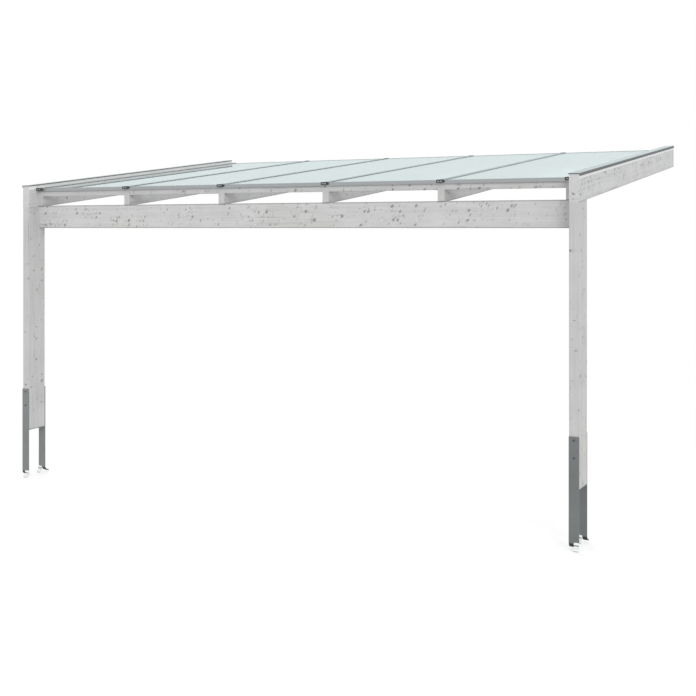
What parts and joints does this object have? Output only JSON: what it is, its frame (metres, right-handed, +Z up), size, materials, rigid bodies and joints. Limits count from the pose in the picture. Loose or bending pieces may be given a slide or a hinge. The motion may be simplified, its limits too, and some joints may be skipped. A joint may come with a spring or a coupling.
{
  "type": "attached patio cover",
  "caption": "Lean-to patio cover of glued timber with a sloping glass roof, carried by a house wall at the back and by two front posts on steel anchors.",
  "frame": {"origin": "centre of the wall ledger's back face, on the wall", "axes": "+X to the right along the wall as seen from the garden, +Y into the wall, +Z up"},
  "size_m": [5.588, 3.6548, 3.3053],
  "materials": {
    "timber": "white-washed glued laminated spruce, planed",
    "anchor_steel": "dark grey coated flat steel",
    "cover_sheet": "grey coated folded sheet",
    "aluminium_profile": "satin anodised extrusion",
    "roof_glass": "clear laminated glass with a faint green tint",
    "rubber_strip": "black sealing strip",
    "end_cap": "moulded, dark grey"
  },
  "bodies": {
    "root": {"left_post": "timber", "right_post": "timber", "front_beam": "timber", "wall_ledger": "timber", "left_side_beam": "timber", "right_side_beam": "timber", "left_post_anchor": "anchor_steel", "right_post_anchor": "anchor_steel", "left_side_cover": "cover_sheet", "right_side_cover": "cover_sheet", "wall_profiles": "aluminium_profile", "rafter_strips": "rubber_strip", "eave_strips": "rubber_strip", "wall_strips": "rubber_strip", "front_bar_caps": "end_cap", "rear_bar_caps": "end_cap", "rafter_1": "timber", "glazing_bar_1": "aluminium_profile", "rafter_2": "timber", "glazing_bar_2": "aluminium_profile", "rafter_3": "timber", "glazing_bar_3": "aluminium_profile", "rafter_4": "timber", "glazing_bar_4": "aluminium_profile", "rafter_5": "timber", "glazing_bar_5": "aluminium_profile", "rafter_6": "timber", "glazing_bar_6": "aluminium_profile", "eave_batten_1": "timber", "glass_panel_1": "roof_glass", "eave_profile_1": "aluminium_profile", "eave_batten_2": "timber", "glass_panel_2": "roof_glass", "eave_profile_2": "aluminium_profile", "eave_batten_3": "timber", "glass_panel_3": "roof_glass", "eave_profile_3": "aluminium_profile", "eave_batten_4": "timber", "glass_panel_4": "roof_glass", "eave_profile_4": "aluminium_profile", "eave_batten_5": "timber", "glass_panel_5": "roof_glass", "eave_profile_5": "aluminium_profile"}
  },
  "joints": []
}
